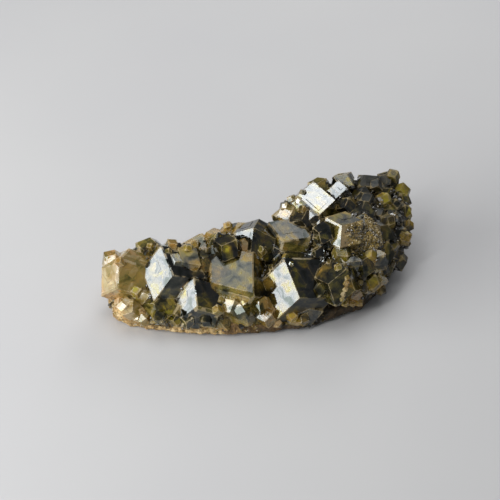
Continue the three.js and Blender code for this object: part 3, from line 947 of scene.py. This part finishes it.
def build_matrix(material):
    """The rock under the crystals, granular and swollen against them."""
    foot_height, darkening_starts, darkening_ragged, darkening_length = 0.3 * MM, 16, 8, 30
    coarse = tidy_mesh("matrix")
    mesh = fine_mesh(coarse, ROCK_STEP)
    coarse.free()
    darkening = mesh.verts.layers.float.new("darkening")
    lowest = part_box("matrix")[0].z
    for vertex in mesh.verts:
        p = vertex.co / MM
        lump = noise.fractal(p * 0.35, 0.9, 2.0, 4)
        grit = noise.noise(p * 1.3) + 0.7 * noise.noise(p * 2.9)
        rise = 0.42 * lump + 0.26 * grit + 0.22
        if vertex.co.z < lowest + foot_height:
            rise = min(0.0, rise - 0.5) * 0.5
        vertex[darkening] = held((p.x + darkening_starts + darkening_ragged * noise.noise(p * 0.12)) / darkening_length)
        vertex.co += vertex.normal * rise * MM
        vertex.co.z = max(vertex.co.z, lowest)
    piece = smooth_piece("matrix_rock", mesh, material, sharp_from=35)
    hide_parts("matrix")


# Small crystals in the gaps, and grains.
def dodecahedron(pieces=1):
    """Corners, faces and edge marks of a rhombic dodecahedron with edges of 1, its rhombs cut into a grid."""
    unit = 1 / math.sqrt(3)
    axes = [Vector(v) for v in ((1, 0, 0), (0, 1, 0), (0, 0, 1))]
    corners, faces, marks, names = [], [], [], {}

    def corner(ring, i, j):
        place = ring[0].lerp(ring[1], i / pieces).lerp(ring[3].lerp(ring[2], i / pieces), j / pieces)
        key = tuple(round(v * 1000) for v in place)
        if key not in names:
            names[key] = len(corners)
            corners.append(place)
            marks.append(1.0 if i in (0, pieces) or j in (0, pieces) else 0.0)
        return names[key]

    for number in range(3):
        a, b, c = axes[number], axes[(number + 1) % 3], axes[(number + 2) % 3]
        for p in (-1, 1):
            for q in (-1, 1):
                ring = [a * p * 2 * unit, (a * p + b * q + c) * unit]
                ring += [b * q * 2 * unit, (a * p + b * q - c) * unit]
                outward = (ring[1] - ring[0]).cross(ring[2] - ring[1]).dot(a * p + b * q) > 0
                for i in range(pieces):
                    for j in range(pieces):
                        face = [corner(ring, i, j), corner(ring, i + 1, j)]
                        face += [corner(ring, i + 1, j + 1), corner(ring, i, j + 1)]
                        faces.append(face if outward else face[::-1])
    return corners, faces, marks


def random_way(rng):
    """A direction in space, drawn at random."""
    return Vector((rng.gauss(0, 1), rng.gauss(0, 1), rng.gauss(0, 1))).normalized()


def scatter(surface, tries, seed, wanted, near=None):
    """Spots on a surface that wanted(spot, normal, hidden, rng) keeps; hidden is how many of the RAYS hit."""
    reach_of_near, off_surface, ray_length, least_area = 11 * MM, 0.05 * MM, 3.2 * MM, 1e-9
    rng = random.Random(seed)
    tree = BVHTree.FromBMesh(surface)
    faces = [f for f in surface.faces if f.calc_area() > least_area]
    if near:
        faces = [f for f in faces if (f.calc_center_median() - near).length < reach_of_near]
    weights = np.cumsum([f.calc_area() for f in faces])
    for _ in range(tries):
        face = faces[int(np.searchsorted(weights, rng.random() * weights[-1]))]
        a, b = sorted((rng.random(), rng.random()))
        p, q, r = (v.co for v in face.verts)
        spot = p * a + q * (b - a) + r * (1 - b)
        hidden = 0
        for _ in range(RAYS):
            way = random_way(rng)
            if way.dot(face.normal) < 0:
                way.negate()
            hit = tree.ray_cast(spot + face.normal * off_surface, way, ray_length)
            hidden += hit[0] is not None
        size = wanted(spot, face.normal, hidden, rng)
        if size:
            yield spot, face.normal, size, rng


def joined(name, places, material):
    """One piece of many small bodies inside the CAD's box, each with its own turn, stretch and tone."""
    lowest, highest = (Vector(v) for v in CAD_BOX)
    corners, faces, _ = dodecahedron()
    points, polygons, tones = [], [], []
    for spot, up, (edge, sunk, tone), rng in places:
        way = random_way(rng)
        turn = Matrix.Rotation(rng.uniform(0, math.tau), 3, way)
        stretch = Vector([rng.uniform(0.8, 1.25) for _ in range(3)])
        middle = spot - up * edge * sunk
        body = [turn @ (c * stretch) * edge + middle for c in corners]
        if any(c[i] < lowest[i] or c[i] > highest[i] for c in body for i in range(3)):
            continue
        first = len(points)
        points += body
        polygons += [[first + i for i in face] for face in faces]
        tones += [tone] * len(faces)
    data = bpy.data.meshes.new(name)
    data.from_pydata([tuple(p) for p in points], [], polygons)
    data.attributes.new("tone", "FLOAT", "FACE").data.foreach_set("value", tones)
    add_piece(name, data, material)


def small_crystal(spot, up, hidden, rng):
    """Edge, depth as a share of it, and tone of a small crystal here, or None; these sit in hidden gaps,
    where their dark tones partly paint shade.
    """
    lowest, least_up, depth = 1.0 * MM, -0.75, 0.15
    in_a_gap, less_hidden, share_in_the_open = 6, 3, 0.22
    large, share_large = 1.5, 0.15
    if spot.z < lowest or up.z < least_up or hidden == RAYS:
        return None
    end = right_end(spot)
    if hidden < (in_a_gap if rng.random() > share_in_the_open * end else less_hidden):
        return None
    edge = rng.uniform(0.26, 0.58) * MM * (1.0 + 0.5 * end) * (large if rng.random() < share_large else 1.0)
    # Mostly near black, partly painted shade in the gaps, with painted golden glow added near the golden
    # places.
    tone = 0.04 + 0.55 * rng.random() ** 2.5 + 0.5 * glow_at(spot)
    return edge, depth, min(1.0, tone)


def tan_grain(spot, up, hidden, rng):
    """Edge, depth and tone of a grain on the crusted crystal's right faces, or None."""
    furthest, least_right, least_up, bare, depth, darkest = 6.2, 0.05, -0.2, -0.55, 0.1, 0.1
    reach = (spot - in_frame(TAN_CRYSTAL)).length / MM
    if reach > furthest + rng.uniform(-1.5, 0.5) or up.x < least_right or up.z < least_up:
        return None
    patch = noise.noise(spot / MM * 0.5)
    if patch < bare:
        return None
    edge = rng.uniform(0.14, 0.36) * MM
    tone = 0.62 + 0.5 * patch + rng.uniform(-0.25, 0.25)
    return edge, depth, max(darkest, min(1.0, tone))


def rock_grain(spot, up, hidden, rng):
    """Edge, depth and tone of a grain on the rock's sides, or None."""
    lowest, least_up, depth, dark_starts, dark_length = 0.4 * MM, -0.6, 0.35, 10, 26
    if up.z < least_up or hidden == RAYS or spot.z < lowest:
        return None
    end = held((spot.x / MM + dark_starts) / dark_length)
    tone = 0.45 + 0.5 * rng.random() - 0.35 * end
    return rng.uniform(0.14, 0.42) * MM, depth, tone


def build_small_pieces(material):
    """Small crystals in the gaps, tan grains on one crystal, and grains on the rock, all of one material."""
    places = scatter(SURFACE, tries=30000, seed=19, wanted=small_crystal)
    joined("small_crystals", places, material)
    places = scatter(SURFACE, tries=11000, seed=29, wanted=tan_grain, near=in_frame(TAN_CRYSTAL))
    joined("tan_crust", places, material)
    rock = tidy_mesh("matrix")
    bmesh.ops.triangulate(rock, faces=rock.faces)
    places = scatter(rock, tries=9000, seed=23, wanted=rock_grain)
    joined("rock_grains", places, material)
    rock.free()


# The stage.
LIT_POINT = Vector((0, 0, 0.012))  # the lights face this point, a little above the floor, in m


def softbox(name, azimuth, elevation, distance, width, height, radiance):
    """An area light that faces the specimen. Azimuth 0 is in front and 90 to the right, in degrees."""
    around, above = math.radians(azimuth), math.radians(elevation)
    level = Vector((math.sin(around), -math.cos(around), 0))
    way = level * math.cos(above) + Vector((0, 0, math.sin(above)))
    light = bpy.data.lights.new(name, "AREA")
    light.shape = "RECTANGLE"
    light.size, light.size_y = width, height
    light.energy = radiance * math.pi * width * height
    lamp = bpy.data.objects.new(name, light)
    lamp.location = way * distance + LIT_POINT
    lamp.rotation_euler = way.to_track_quat("Z", "Y").to_euler()
    lamp.visible_camera = False
    bpy.context.scene.collection.objects.link(lamp)


def build_stage():
    """A plain pale floor, dim even light all round, and soft lights that the large faces mirror."""
    bpy.ops.mesh.primitive_plane_add(size=6.0, location=(0, 0, 0))
    floor = bpy.context.object
    floor.name = "floor"
    floor.data.materials.append(floor_material())
    world = bpy.data.worlds.new("studio")
    bpy.context.scene.world = world
    world.use_nodes = True
    background = world.node_tree.nodes["Background"]
    background.inputs["Color"].default_value = (0.95, 0.97, 1.0, 1)
    background.inputs["Strength"].default_value = 0.16
    softbox("left_box", azimuth=290, elevation=15, distance=0.42, width=0.40, height=0.27, radiance=7.0)
    softbox("back_box", azimuth=163, elevation=31, distance=0.50, width=0.20, height=0.16, radiance=6.6)
    softbox("top_box", azimuth=185, elevation=76, distance=0.60, width=0.50, height=0.50, radiance=2.0)
    softbox("front_strip", azimuth=318, elevation=50, distance=0.50, width=0.035, height=0.26, radiance=18.0)
    bpy.context.scene.view_settings.view_transform = "Standard"


def build_camera():
    """The photograph's view."""
    camera = bpy.data.cameras.new("camera")
    camera.sensor_width = 36.0
    camera.lens = LENS_LENGTH / PHOTO_SIDE * camera.sensor_width
    camera.clip_start, camera.clip_end = 0.01, 20
    view = bpy.data.objects.new("camera", camera)
    view.location, ahead = sight(PHOTO_SIDE / 2, PHOTO_SIDE / 2)
    view.rotation_euler = ahead.to_track_quat("-Z", "Y").to_euler()
    bpy.context.scene.collection.objects.link(view)
    bpy.context.scene.camera = view


build_camera()
build_stage()
build_crystals(garnet_material())
build_matrix(rock_material())
build_small_pieces(young_garnet_material())
